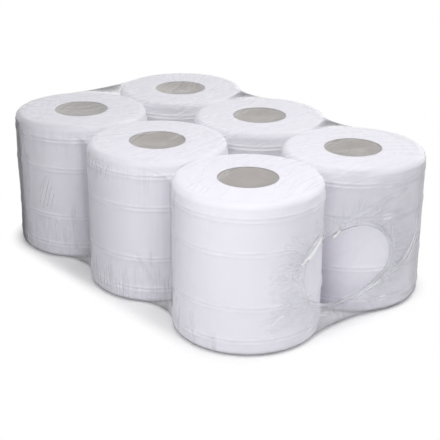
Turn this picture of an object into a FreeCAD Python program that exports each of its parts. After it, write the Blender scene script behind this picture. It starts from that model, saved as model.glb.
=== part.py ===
import FreeCAD, Part
import math
import os

import Sketcher
from FreeCAD import Placement, Rotation, Vector

# A pack of centrefeed paper rolls: wound paper rolls on card cores, standing in
# two rows, held by one sleeve of clear shrink film. The sleeve runs round the top,
# the long sides and the underside, bridges the valleys between the rolls, and
# leaves an oval bull's-eye open at each short end, with a thick shrunk rim.
#
# Frame: millimetres, +X along the rows, +Z up, origin at the centre of the underside.

SIZES = {
    # the grid the rolls stand on
    "pitch_long": 185.0,
    "pitch_short": 181.0,
    # one wound roll of paper
    "roll_radius": 93.5,
    "roll_height": 196.0,
    "roll_rim": 8.0,
    "contact_width": 60.0,
    # embossed beads round the side of a roll; the levels are shares of the height
    "bead_width": 4.8,
    "bead_rise": 0.8,
    "bead_low": 0.10,
    "bead_high": 0.32,
    # grooves where the turns show on the end faces of a roll
    "turn_radius": 50.0,
    "turn_step": 13.0,
    "turn_groove": 0.6,
    # card core tube
    "core_radius": 38.0,
    "core_wall": 1.5,
    # shrink film
    "film_gauge": 0.4,
    "film_slack": 1.0,
    "side_valley": 72.0,
    "end_valley": 240.0,
    "bore_sag": 1.2,
    "bore_sag_radius": 36.0,
    "gap_sag": 2.6,
    "gap_sag_radius": 42.0,
    # bull's-eye opening at each short end, and its shrunk rim
    "eye_width": 170.0,
    "eye_height": 98.0,
    "eye_corner": 38.0,
    "eye_level": 87.0,
    "eye_shift": 16.0,
    "rim_width": 3.0,
    "rim_rise": 1.2,
    # gathered folds in the film, which lie flat on it
    "fold_rise": 0.6,
    "fold_root": 4.0,
    "fold_tip": 0.6,
    "fan_start": 42.0,
    "fan_length": 40.0,
    "gap_fold_length": 110.0,
    "skirt_start": 3.0,
    "skirt_length": 50.0,
    "skirt_pitch": 14.0,
    "collar_pitch": 19.0,
    "collar_length": 22.0,
    "eye_fold_length": 34.0,
    # weld along one long side, where the sleeve is joined; it runs on to both rims
    "weld_level": 97.0,
    "weld_width": 1.5,
}

# places of the rolls as steps of the grid, anticlockwise from above
PLACES = [(-1, -1), (0, -1), (1, -1), (1, 1), (0, 1), (-1, 1)]

# a construction solid that only has to pass right through the pack
THROUGH = 700.0

doc = FreeCAD.newDocument("centrefeed_pack")
sheet = doc.addObject("Spreadsheet::Sheet", "sizes")
for row, (alias, size) in enumerate(SIZES.items(), start=1):
    sheet.set(f"A{row}", alias)
    sheet.set(f"B{row}", str(size))
    sheet.setAlias(f"B{row}", alias)
doc.recompute()


def worth(text):
    """The number that an expression on the sheet gives."""
    return float(sheet.evalExpression(text))


def bind(thing, **texts):
    """Binds properties of an object to expressions on the sheet."""
    for name, text in texts.items():
        thing.setExpression(name, text)


def grid_x(step):
    return f"{step} * sizes.pitch_long"


def grid_y(side):
    return f"{side} * sizes.pitch_short / 2"


# ---------------------------------------------------------------- sketch helpers


def sketch_on(body, name, role, level=None):
    """A sketch on one of the body's own origin planes, raised to a level if one is given."""
    sketch = body.newObject("Sketcher::SketchObject", name)
    planes = [f for f in body.Origin.OriginFeatures if f.Role == role]
    sketch.AttachmentSupport = (planes[0], [""])
    sketch.MapMode = "FlatFace"
    if level:
        sketch.setExpression("AttachmentOffset.Base.z", level)
    return sketch


def size_of(sketch, kind, ends, text):
    """One dimension of a sketch, bound to the sheet."""
    index = sketch.addConstraint(Sketcher.Constraint(kind, *ends, worth(text)))
    sketch.setExpression(f"Constraints[{index}]", text)


def place_of(sketch, curve, point, x, y):
    """Fixes a point of a curve at (x, y), each an expression."""
    for kind, axis, text in (("DistanceX", -2, x), ("DistanceY", -1, y)):
        number = worth(text)
        if number == 0:
            sketch.addConstraint(Sketcher.Constraint("PointOnObject", curve, point, axis))
        elif number > 0:
            size_of(sketch, kind, (-1, 1, curve, point), text)
        else:
            size_of(sketch, kind, (curve, point, -1, 1), f"-({text})")


def circle(sketch, x, y, radius):
    """A whole circle, fixed in place and size."""
    middle = Vector(worth(x), worth(y), 0)
    shape = Part.Circle(middle, Vector(0, 0, 1), worth(radius))
    curve = sketch.addGeometry(shape, False)
    place_of(sketch, curve, 3, x, y)
    size_of(sketch, "Radius", (curve,), radius)


def arc(sketch, middle, radius, start, end):
    """An arc, drawn anticlockwise from the direction of one point to that of another."""
    turns = [math.atan2(p.y - middle.y, p.x - middle.x) for p in (start, end)]
    shape = Part.ArcOfCircle(Part.Circle(middle, Vector(0, 0, 1), radius), *turns)
    return sketch.addGeometry(shape, False)


def rectangle(sketch, low_x, low_y, high_x, high_y):
    """A rectangle whose corners are expressions."""
    names = [(low_x, low_y), (high_x, low_y), (high_x, high_y), (low_x, high_y)]
    corners = [Vector(worth(x), worth(y), 0) for x, y in names]
    sides = []
    for a, b in zip(corners, corners[1:] + corners[:1]):
        sides.append(sketch.addGeometry(Part.LineSegment(a, b), False))
    for a, b in zip(sides, sides[1:] + sides[:1]):
        sketch.addConstraint(Sketcher.Constraint("Coincident", a, 2, b, 1))
    sketch.addConstraint(Sketcher.Constraint("Horizontal", sides[0]))
    sketch.addConstraint(Sketcher.Constraint("Vertical", sides[1]))
    sketch.addConstraint(Sketcher.Constraint("Horizontal", sides[2]))
    sketch.addConstraint(Sketcher.Constraint("Vertical", sides[3]))
    place_of(sketch, sides[0], 1, low_x, low_y)
    place_of(sketch, sides[2], 1, high_x, high_y)


def revolve(body, kind, name, sketch):
    """Turns a sketch right round its own upright axis."""
    feature = body.newObject(kind, name)
    feature.Profile = sketch
    feature.ReferenceAxis = (sketch, ["V_Axis"])
    feature.Angle = 360
    return feature


# ---------------------------------------------------------------- rolls and cores


def roll_section(body):
    """Half section of the wound paper: bore, flat ends and soft rims."""
    sketch = sketch_on(body, "section", "XZ_Plane")
    bore = "sizes.core_radius"
    flat = "sizes.roll_radius - sizes.roll_rim"
    side = "sizes.roll_radius"
    foot = "sizes.roll_rim"
    brow = "sizes.roll_height - sizes.roll_rim"
    top = "sizes.roll_height"
    names = [(bore, "0"), (flat, "0"), (side, foot), (side, brow), (flat, top), (bore, top)]
    points = [Vector(worth(x), worth(y), 0) for x, y in names]
    rim = worth("sizes.roll_rim")
    low_middle = Vector(points[1].x, points[2].y, 0)
    high_middle = Vector(points[4].x, points[3].y, 0)
    curves = [
        sketch.addGeometry(Part.LineSegment(points[0], points[1]), False),
        arc(sketch, low_middle, rim, points[1], points[2]),
        sketch.addGeometry(Part.LineSegment(points[2], points[3]), False),
        arc(sketch, high_middle, rim, points[3], points[4]),
        sketch.addGeometry(Part.LineSegment(points[4], points[5]), False),
        sketch.addGeometry(Part.LineSegment(points[5], points[0]), False),
    ]
    for a, b in zip(curves, curves[1:] + curves[:1]):
        sketch.addConstraint(Sketcher.Constraint("Coincident", a, 2, b, 1))
    for curve, (x, y) in zip(curves, names):
        place_of(sketch, curve, 1, x, y)
    for curve in (curves[1], curves[3]):
        size_of(sketch, "Radius", (curve,), "sizes.roll_rim")
    return sketch


def bead_section(body):
    """Circles whose crests stand out of the side of the roll."""
    sketch = sketch_on(body, "bead_section", "XZ_Plane")
    half = "sizes.bead_width / 2"
    radius = f"(({half})^2 + sizes.bead_rise^2) / (2 * sizes.bead_rise)"
    x = f"sizes.roll_radius + sizes.bead_rise - {radius}"
    for share in ("sizes.bead_low", "sizes.bead_high"):
        circle(sketch, x, f"sizes.roll_height * {share}", radius)
        circle(sketch, x, f"sizes.roll_height * (1 - {share})", radius)
    return sketch


def turn_section(body):
    """Small circles that cut shallow grooves between turns on both end faces."""
    sketch = sketch_on(body, "turn_section", "XZ_Plane")
    for step in range(3):
        x = f"sizes.turn_radius + {step} * sizes.turn_step"
        circle(sketch, x, "sizes.roll_height + sizes.turn_groove / 2", "sizes.turn_groove")
        circle(sketch, x, "-sizes.turn_groove / 2", "sizes.turn_groove")
    return sketch


def contact_section(body, place):
    """Strips beyond the planes where a roll is pressed flat against its neighbours."""
    sketch = sketch_on(body, "contact_section", "XY_Plane")
    reach = "sizes.roll_radius + sizes.pitch_long / 10"
    half = "sizes.contact_width / 2"
    step, side = place
    for way in (-1, 1):
        if (step + way, side) in PLACES:
            near = "sizes.pitch_long / 2"
            if way > 0:
                rectangle(sketch, near, f"-{half}", reach, half)
            else:
                rectangle(sketch, f"-({reach})", f"-{half}", f"-{near}", half)
    near = "sizes.pitch_short / 2"
    if side < 0:
        rectangle(sketch, f"-{half}", near, half, reach)
    else:
        rectangle(sketch, f"-{half}", f"-({reach})", half, f"-{near}")
    return sketch


def stand_at(body, place):
    """Stands a body on the film at its place in the grid."""
    step, side = place
    bind(body, **{
        "Placement.Base.x": grid_x(step),
        "Placement.Base.y": grid_y(side),
        "Placement.Base.z": "sizes.film_gauge",
    })


def paper_roll(number, place):
    """Wound paper, one solid: turned section, beads, end grooves and pressed flats."""
    body = doc.addObject("PartDesign::Body", f"paper_roll_{number}")
    body.Label = f"paper_roll_{number}"
    revolve(body, "PartDesign::Revolution", "winding", roll_section(body))
    revolve(body, "PartDesign::Revolution", "beads", bead_section(body))
    revolve(body, "PartDesign::Groove", "turns", turn_section(body))
    flats = body.newObject("PartDesign::Pocket", "flats")
    flats.Profile = contact_section(body, place)
    flats.Type = "ThroughAll"
    flats.Reversed = True
    stand_at(body, place)
    return body


def core_tube(number, place):
    """Card tube that the paper is wound on, cut square and flush with the paper."""
    body = doc.addObject("PartDesign::Body", f"core_tube_{number}")
    body.Label = f"core_tube_{number}"
    sketch = sketch_on(body, "ring", "XY_Plane")
    circle(sketch, "0", "0", "sizes.core_radius")
    circle(sketch, "0", "0", "sizes.core_radius - sizes.core_wall")
    tube = body.newObject("PartDesign::Pad", "tube")
    tube.Profile = sketch
    bind(tube, Length="sizes.roll_height")
    stand_at(body, place)
    return body


# ---------------------------------------------------------------- film envelopes


def outline(body, offset, level):
    """Plan of the wrap: an arc round each roll, and a hollow arc bridging each valley."""
    sketch = sketch_on(body, "outline", "XY_Plane", level)
    round_roll = f"sizes.roll_radius + {offset}"
    middles = [(grid_x(step), grid_y(side)) for step, side in PLACES]
    points = [Vector(worth(x), worth(y), 0) for x, y in middles]
    radius = worth(round_roll)
    # each valley: its radius, the centre of its arc, and where it leaves the two rolls
    valleys = []
    for a, b in zip(points, points[1:] + points[:1]):
        along = b - a
        half = along.Length / 2
        name = "sizes.side_valley" if along.y == 0 else "sizes.end_valley"
        bend = f"{name} - ({offset})"
        outward = Vector(along.y, -along.x, 0).normalize()
        height = math.sqrt((radius + worth(bend)) ** 2 - half**2)
        middle = (a + b) * 0.5 + outward * height
        leave = a + (middle - a).normalize() * radius
        meet = b + (middle - b).normalize() * radius
        valleys.append((bend, middle, leave, meet))
    rounds = []
    bridges = []
    for number, point in enumerate(points):
        start = valleys[number - 1][3]
        end = valleys[number][2]
        rounds.append(arc(sketch, point, radius, start, end))
    for bend, middle, leave, meet in valleys:
        bridges.append(arc(sketch, middle, worth(bend), meet, leave))
    for number, bridge in enumerate(bridges):
        following = rounds[(number + 1) % len(rounds)]
        sketch.addConstraint(Sketcher.Constraint("Tangent", rounds[number], 2, bridge, 2))
        sketch.addConstraint(Sketcher.Constraint("Tangent", bridge, 1, following, 1))
    for curve, (x, y) in zip(rounds, middles):
        place_of(sketch, curve, 3, x, y)
        size_of(sketch, "Radius", (curve,), round_roll)
    for curve, valley in zip(bridges, valleys):
        size_of(sketch, "Radius", (curve,), valley[0])
    return sketch


def sag(body, name, x, y, top, depth, radius):
    """A shallow dish in the top of an envelope, where nothing holds the film up."""
    ball = body.newObject("PartDesign::SubtractiveSphere", name)
    bend = f"({radius}^2 + {depth}^2) / (2 * {depth})"
    bind(ball, **{
        "Radius": bend,
        "AttachmentOffset.Base.x": x,
        "AttachmentOffset.Base.y": y,
        "AttachmentOffset.Base.z": f"{top} - {depth} + {bend}",
    })
    planes = [f for f in body.Origin.OriginFeatures if f.Role == "XY_Plane"]
    ball.AttachmentSupport = (planes[0], [""])
    ball.MapMode = "FlatFace"


def envelope(name, offset, base, top):
    """Closed form of the wrapped pack, a stated offset outside the rolls."""
    body = doc.addObject("PartDesign::Body", name)
    body.Label = name
    block = body.newObject("PartDesign::Pad", "block")
    block.Profile = outline(body, offset, base)
    bind(block, Length=f"{top} - ({base})")
    doc.recompute()
    ends = []
    for number, face in enumerate(block.Shape.Faces, start=1):
        if abs(face.normalAt(0, 0).z) > 0.9:
            ends.append(f"Face{number}")
    edge = body.newObject("PartDesign::Fillet", "edge")
    edge.Base = (block, ends)
    bind(edge, Radius=f"sizes.roll_rim + {offset}")
    for number, (step, side) in enumerate(PLACES, start=1):
        depth = "sizes.bore_sag"
        sag(body, f"bore_sag_{number}", grid_x(step), grid_y(side), top, depth,
            "sizes.bore_sag_radius")
    for number, half_step in enumerate((-0.5, 0.5), start=1):
        sag(body, f"gap_sag_{number}", grid_x(half_step), "0", top, "sizes.gap_sag",
            "sizes.gap_sag_radius")
    return body


# ---------------------------------------------------------------- bull's-eye and rim


def oval(sketch, growth):
    """Four tangent arcs, tight at the sides and flatter above and below."""
    half_width = f"(sizes.eye_width / 2 + {growth})"
    half_height = f"(sizes.eye_height / 2 + {growth})"
    corner = f"(sizes.eye_corner + {growth})"
    inset = f"({half_width} - {corner})"
    flat = f"(({inset}^2 + {half_height}^2 - {corner}^2) / (2 * ({half_height} - {corner})))"
    x = worth("-sizes.eye_shift")
    y = worth("sizes.eye_level")
    drop = worth(f"{flat} - {half_height}")
    right = Vector(x + worth(inset), y, 0)
    left = Vector(x - worth(inset), y, 0)
    above = Vector(x, y + drop, 0)
    below = Vector(x, y - drop, 0)
    big = worth(flat)
    small = worth(corner)
    high_right = below + (right - below).normalize() * big
    high_left = below + (left - below).normalize() * big
    low_right = above + (right - above).normalize() * big
    low_left = above + (left - above).normalize() * big
    curves = [
        arc(sketch, right, small, low_right, high_right),
        arc(sketch, below, big, high_right, high_left),
        arc(sketch, left, small, high_left, low_left),
        arc(sketch, above, big, low_left, low_right),
    ]
    for a, b in zip(curves, curves[1:] + curves[:1]):
        sketch.addConstraint(Sketcher.Constraint("Tangent", a, 2, b, 1))
    place_of(sketch, curves[0], 3, f"{inset} - sizes.eye_shift", "sizes.eye_level")
    place_of(sketch, curves[2], 3, f"-{inset} - sizes.eye_shift", "sizes.eye_level")
    for curve, radius in zip(curves, (corner, flat, corner, flat)):
        size_of(sketch, "Radius", (curve,), radius)


def oval_bar(name, growths):
    """A bar along X of oval section, or an oval tube if two ovals are given."""
    body = doc.addObject("PartDesign::Body", name)
    body.Label = name
    sketch = sketch_on(body, "oval", "YZ_Plane")
    for growth in growths:
        oval(sketch, growth)
    bar = body.newObject("PartDesign::Pad", "bar")
    bar.Profile = sketch
    bar.Length = THROUGH
    bar.SideType = "Symmetric"
    return body


# ---------------------------------------------------------------- gathered folds


def fold(name, length, base, turn):
    """A slim tapered slab: its long side is local Y, and it passes through the film."""
    slab = doc.addObject("Part::Wedge", name)
    slab.Zmin = slab.Z2min = -fold_depth
    slab.Zmax = slab.Z2max = fold_depth
    slab.Ymin = 0
    bind(slab, Ymax=length, Xmin="-sizes.fold_root / 2", Xmax="sizes.fold_root / 2",
         X2min="-sizes.fold_tip / 2", X2max="sizes.fold_tip / 2")
    slab.Placement = Placement(base, turn)
    return slab


# half the depth of a fold's slab, enough to pass right through the film where it bends
fold_depth = 28.0

# turns of a fold's slab that point its long side up or down a long side of the pack
UPWARD = Rotation(Vector(1, 0, 0), 90)
DOWNWARD = Rotation(Vector(1, 0, 0), -90)


def top_folds():
    """Fans that run in to each core from the long side, and folds over the star gaps."""
    slabs = []
    top = worth("sizes.roll_height")
    for number, (step, side) in enumerate(PLACES, start=1):
        middle = Vector(worth(grid_x(step)), worth(grid_y(side)), top)
        for finger in range(5):
            away = side * 90 + (finger - 2) * 26 + 6 * math.sin(3 * finger + number)
            way = Vector(math.cos(math.radians(away)), math.sin(math.radians(away)), 0)
            share = 0.82 + 0.18 * math.sin(2 * finger + 5 * number)
            reach = worth("sizes.fan_start") + share * worth("sizes.fan_length")
            turn = Rotation(Vector(0, 0, 1), away + 90)
            slabs.append(fold(f"fan_{number}_{finger}", f"{share} * sizes.fan_length",
                              middle + way * reach, turn))
    for number, half_step in enumerate((-0.5, 0.5), start=1):
        for finger in range(3):
            x = worth(grid_x(half_step)) + (finger - 1) * 17
            lean = (finger - 1) * 9
            share = 0.85 + 0.15 * math.sin(4 * finger + number)
            start = Vector(x, -share * worth("sizes.gap_fold_length") / 2, top)
            turn = Rotation(Vector(0, 0, 1), -lean)
            slabs.append(fold(f"gap_fold_{number}_{finger}",
                              f"{share} * sizes.gap_fold_length", start, turn))
    return slabs


def side_folds():
    """Upright pleats on the long sides: a skirt at the foot and a collar at the brow."""
    slabs = []
    foot = worth("sizes.skirt_start")
    brow = worth("sizes.roll_height")
    skirt_pitch = worth("sizes.skirt_pitch")
    collar_pitch = worth("sizes.collar_pitch")
    for number, (step, side) in enumerate(PLACES, start=1):
        middle = worth(grid_x(step))
        y = worth(grid_y(side)) + side * worth("sizes.roll_radius")
        for finger in range(6):
            x = middle + (finger - 2.5) * skirt_pitch + 4 * math.sin(5 * finger + number)
            share = 0.75 + 0.25 * math.sin(3 * finger + 2 * number)
            slabs.append(fold(f"skirt_{number}_{finger}", f"{share} * sizes.skirt_length",
                              Vector(x, y, foot), UPWARD))
        for finger in range(4):
            x = middle + (finger - 1.5) * collar_pitch + 5 * math.sin(7 * finger + number)
            share = 0.7 + 0.3 * math.sin(5 * finger + number)
            slabs.append(fold(f"collar_{number}_{finger}", f"{share} * sizes.collar_length",
                              Vector(x, y, brow), DOWNWARD))
    return slabs


def end_folds():
    """Folds that spread from the rim of each bull's-eye over the end of the pack."""
    slabs = []
    half_width = worth("sizes.eye_width / 2")
    half_height = worth("sizes.eye_height / 2")
    y = -worth("sizes.eye_shift")
    level = worth("sizes.eye_level")
    for end in (-1, 1):
        x = end * worth("sizes.pitch_long + sizes.roll_radius - 8")
        for finger in range(12):
            away = 15 + finger * 30 + 7 * math.sin(3 * finger + end)
            way = Vector(0, math.cos(math.radians(away)), math.sin(math.radians(away)))
            rim = 1 / math.hypot(way.y / half_width, way.z / half_height)
            share = 0.8 + 0.2 * math.sin(4 * finger + 2 * end)
            start = Vector(x, y, level) + way * rim
            # local Y turns to point away from the oval, local Z to point along X
            turn = Rotation(Vector(1, 0, 0), away).multiply(Rotation(Vector(0, 1, 0), 90))
            slabs.append(fold(f"eye_fold_{2 + end}_{finger}",
                              f"{share} * sizes.eye_fold_length", start, turn))
    return slabs


def weld():
    """The slab that leaves the weld line on one long side and round to both rims."""
    slab = doc.addObject("Part::Box", "weld")
    slab.Length = THROUGH
    slab.Width = THROUGH
    slab.Placement.Base.x = -THROUGH / 2
    bind(slab, **{
        "Height": "sizes.weld_width",
        "Placement.Base.y": "sizes.eye_width / 2 - sizes.eye_shift",
        "Placement.Base.z": "sizes.weld_level",
    })
    return slab


# ---------------------------------------------------------------- the film


def boolean(kind, name, first, second):
    result = doc.addObject(kind, name)
    result.Base = first
    result.Tool = second
    return result


def fused(name, things):
    result = doc.addObject("Part::MultiFuse", name)
    result.Shapes = things
    return result


def film_wrap():
    """One sleeve of film: skin, folds and rims, hollowed out and open at both ends."""
    gauge = "sizes.film_gauge"
    slack = "sizes.film_slack"
    inner_top = f"({gauge} + sizes.roll_height)"
    outer_top = f"({inner_top} + {gauge})"
    inside = envelope("film_inside", slack, gauge, inner_top)
    skin = envelope("film_skin", f"({slack} + {gauge})", "0", outer_top)
    fold_layer = envelope("fold_layer", f"({slack} + {gauge} + sizes.fold_rise)", "0",
                          f"({outer_top} + sizes.fold_rise)")
    rim_layer = envelope("rim_layer", f"({slack} + {gauge} + sizes.rim_rise)", "0",
                         f"({outer_top} + sizes.rim_rise)")
    slabs = fused("fold_slabs", top_folds() + side_folds() + end_folds() + [weld()])
    folds = boolean("Part::Common", "folds", fold_layer, slabs)
    ring = oval_bar("rim_ring", ("0", "sizes.rim_width"))
    rims = boolean("Part::Common", "rims", rim_layer, ring)
    dressed = fused("dressed_skin", [skin, folds, rims])
    eye = oval_bar("eye_bar", ("0",))
    hollow = fused("hollow", [inside, eye])
    wrap = boolean("Part::Cut", "film_wrap", dressed, hollow)
    wrap.Label = "film_wrap"
    return wrap


parts = []
for number, place in enumerate(PLACES, start=1):
    parts.append(paper_roll(number, place))
    parts.append(core_tube(number, place))
parts.append(film_wrap())
doc.recompute()

for thing in doc.Objects:
    if "Invalid" in thing.State or "Error" in thing.State:
        raise RuntimeError(f"{thing.Name} did not build: {thing.State}")

os.makedirs("parts", exist_ok=True)
for part in parts:
    if part.Shape.isNull() or not part.Shape.isValid():
        raise RuntimeError(f"{part.Label} has no valid shape")
for part in parts:
    part.Shape.exportStep(os.path.join("parts", f"{part.Label}.step"))
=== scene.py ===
import math

import bpy
import numpy as np
from mathutils import Matrix, Vector
from mathutils.geometry import delaunay_2d_cdt


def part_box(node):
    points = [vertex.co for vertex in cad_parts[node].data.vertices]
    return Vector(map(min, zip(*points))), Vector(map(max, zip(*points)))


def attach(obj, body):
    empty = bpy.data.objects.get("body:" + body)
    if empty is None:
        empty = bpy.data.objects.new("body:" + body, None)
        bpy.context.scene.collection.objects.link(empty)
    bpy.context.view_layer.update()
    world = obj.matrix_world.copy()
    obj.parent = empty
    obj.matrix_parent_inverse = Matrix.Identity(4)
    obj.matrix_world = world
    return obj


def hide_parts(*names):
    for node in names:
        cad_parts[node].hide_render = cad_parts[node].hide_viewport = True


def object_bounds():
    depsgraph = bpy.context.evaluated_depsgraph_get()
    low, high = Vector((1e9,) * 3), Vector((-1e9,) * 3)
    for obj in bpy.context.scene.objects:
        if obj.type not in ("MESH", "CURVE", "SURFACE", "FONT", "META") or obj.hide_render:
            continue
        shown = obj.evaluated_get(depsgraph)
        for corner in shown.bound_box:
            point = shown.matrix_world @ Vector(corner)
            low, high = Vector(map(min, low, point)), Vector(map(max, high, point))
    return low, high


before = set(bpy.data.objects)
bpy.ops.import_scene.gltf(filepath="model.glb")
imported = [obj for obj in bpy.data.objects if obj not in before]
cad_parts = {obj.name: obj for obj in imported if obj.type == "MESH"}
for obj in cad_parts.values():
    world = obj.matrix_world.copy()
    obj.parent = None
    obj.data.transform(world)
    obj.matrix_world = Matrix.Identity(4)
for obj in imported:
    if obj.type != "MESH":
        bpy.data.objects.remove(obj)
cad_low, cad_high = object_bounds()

# A pack of six centrefeed paper rolls in one sleeve of clear shrink film, dressed for
# looks: embossed tissue wound on card cores, and film that hugs the rolls, bridges the
# valleys between them and gathers round a bull's-eye at each short end.
#
# Metres, +X along the rows, +Z up, origin at the centre of the underside.

MM = 0.001

# ------------------------------------------------------------------ sizes from the frame

COUNT = 6
BEAD_RISE = 0.8 * MM
BEAD_RIDGE = 1.35 * MM  # a little over the solid's rise, so that the beads show through film
BEAD_WIDTH = 10.4 * MM
BEAD_SHARES = (0.10, 0.32, 0.68, 0.90)  # heights of the beads, as shares of the roll's
ROLL_RIM = 8.0 * MM  # radius of the soft edge round each end of a roll
TURN_RADII = (50.0 * MM, 63.0 * MM, 76.0 * MM)  # turns that have parted a little
TURN_GROOVE = 0.25 * MM
CLEAN_ROLL = 3  # the number of the roll at the +X -Y corner, whose film has few folds
CORE_WALL = 1.5 * MM

core_boxes = [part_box(f"core_tube_{n}") for n in range(1, COUNT + 1)]
# axes of the rolls, anticlockwise from above, starting at -X -Y
AXES = [((low + high) / 2).to_2d() for low, high in core_boxes]
END_X = AXES[2].x  # the axes of the two rolls at the +X end
CORE_RADIUS = (core_boxes[0][1].x - core_boxes[0][0].x) / 2
ROLL_FOOT, ROLL_TOP = core_boxes[0][0].z, core_boxes[0][1].z
ROLL_HEIGHT = ROLL_TOP - ROLL_FOOT
ROLL_RADIUS = AXES[0].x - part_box("paper_roll_1")[0].x - BEAD_RISE
BEADS = [ROLL_FOOT + share * ROLL_HEIGHT for share in BEAD_SHARES]

# the film
# radii of its valleys between rolls, seen from above
SIDE_VALLEY = 72.0 * MM
END_VALLEY = 240.0 * MM
GAUGE = 0.2 * MM  # the film's thickness, drawn thicker than the real 0.05 mm
CLEAR = 0.3 * MM  # the gap between paper and film
FILM_FOOT = GAUGE
FILM_TOP = ROLL_TOP + 0.05 * MM
FILM_RIM = ROLL_RIM + CLEAR
# how far it sinks over the bores and over the gaps between four rolls
BORE_SAG, BORE_SAG_RADIUS = 1.2 * MM, 36.0 * MM
GAP_SAG, GAP_SAG_RADIUS = 2.6 * MM, 42.0 * MM

# the bull's-eyes, whose middles lie off the pack's own middle
EYE_Y = -8.0 * MM
EYE_Z = 84.0 * MM
EYE_HALF_WIDTH = 77.0 * MM
EYE_HALF_HEIGHT = 48.0 * MM
EYE_SQUARENESS = 2.5
ROPE = 0.45 * MM  # radius of the rolled rim
RING_SPOTS = 190  # spots round each bull's-eye
WELD_LEVEL = 97.0 * MM  # height of the weld along the +Y side
# shares of a bead's rise that the film keeps between beads, and gains over them
BETWEEN_BEADS, OVER_BEADS = 0.55, 0.45
# how strongly shade is painted into the film as grey: over the far valleys on top, on the
# far walls, in the valleys, and as a contact shadow round the base
TOP_PAINTED_SHADE, WALL_PAINTED_SHADE, VALLEY_PAINTED_SHADE, BASE_PAINTED_SHADE = 0.6, 0.45, 0.45, 0.35
TOP_FOLD_COUNT = 95
FULL_CREASE = 1.8 * MM  # the rise of a fold that counts as fully creased
TOP_SPREAD = 17.0  # how fast the pull on top fans out towards the long sides, per square metre

# ------------------------------------------------------------------ small helpers


def colour(code):
    """An sRGB hex colour as linear RGBA."""
    parts = [int(code[i:i + 2], 16) / 255 for i in (1, 3, 5)]
    linear = [p / 12.92 if p <= 0.04045 else ((p + 0.055) / 1.055) ** 2.4 for p in parts]
    return (*linear, 1.0)


def add(tree, kind, inputs=(), **settings):
    """A new node with its settings. Its inputs are given in order or by name, each as a value,
    a socket, or a node whose first output is meant."""
    node = tree.nodes.new(kind)
    for name, value in settings.items():
        setattr(node, name, value)
    for name, value in inputs.items() if isinstance(inputs, dict) else enumerate(inputs):
        if isinstance(value, bpy.types.Node):
            value = value.outputs[0]
        if isinstance(value, bpy.types.NodeSocket):
            tree.links.new(value, node.inputs[name])
        else:
            node.inputs[name].default_value = value
    return node


def blank(name):
    """A material with an empty node tree."""
    material = bpy.data.materials.new(name)
    material.use_nodes = True
    material.node_tree.nodes.clear()
    return material, material.node_tree


def smooth(share):
    """Eases from 0 to 1."""
    share = np.clip(share, 0, 1)
    return share * share * (3 - 2 * share)


def plain_mesh(name, points, faces, edges=()):
    """A mesh from points, faces and loose edges."""
    mesh = bpy.data.meshes.new(name)
    mesh.from_pydata([tuple(p) for p in points], list(edges), [tuple(f) for f in faces])
    return mesh


def placed(name, data):
    """A new object in the scene."""
    thing = bpy.data.objects.new(name, data)
    bpy.context.collection.objects.link(thing)
    return thing


def settled(holder):
    """The plain mesh that an object's modifiers make. The object itself goes."""
    graph = bpy.context.evaluated_depsgraph_get()
    result = bpy.data.meshes.new_from_object(holder.evaluated_get(graph), depsgraph=graph)
    result.name = holder.name
    bpy.data.objects.remove(holder)
    return result


def grown(tree, name, mesh, values):
    """The plain mesh that a node tree makes from a mesh."""
    holder = placed(name, mesh)
    modifier = holder.modifiers.new("make", "NODES")
    modifier.node_group = tree
    for item in tree.interface.items_tree:
        if item.in_out == "INPUT" and item.name in values:
            modifier[item.identifier] = values[item.name]
    return settled(holder)


def made_into_piece(tree, geometry, finish):
    """Ends a node tree: its geometry comes out smooth, real and in one finish."""
    smoothed = add(tree, "GeometryNodeSetShadeSmooth", [geometry])
    solid = add(tree, "GeometryNodeRealizeInstances", [smoothed])
    finished = add(tree, "GeometryNodeSetMaterial", {"Geometry": solid, "Material": finish})
    add(tree, "NodeGroupOutput", [finished])
    return tree


def towards(azimuth, elevation):
    """The way from the pack to where something stands, in degrees. Azimuth 0 is the -Y side,
    and 90 the +X side."""
    a, e = math.radians(azimuth), math.radians(elevation)
    return Vector((math.sin(a) * math.cos(e), -math.cos(a) * math.cos(e), math.sin(e)))


def show(name, mesh, slot, *nodes):
    """Shows a mesh as the piece that stands for some nodes of the frame."""
    piece = placed(name, mesh)
    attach(piece, "root")
    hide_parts(*nodes)


# ------------------------------------------------------------------ finishes


def round_the_axis(tree):
    """Place from a roll's own axis, that place split up, and the bearing round the axis."""
    place = add(tree, "ShaderNodeAttribute", attribute_name="from_axis").outputs["Vector"]
    split = add(tree, "ShaderNodeSeparateXYZ", [place]).outputs
    turn = add(tree, "ShaderNodeMath", [split["Y"], split["X"]], operation="ARCTAN2")
    return place, split, turn


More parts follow.
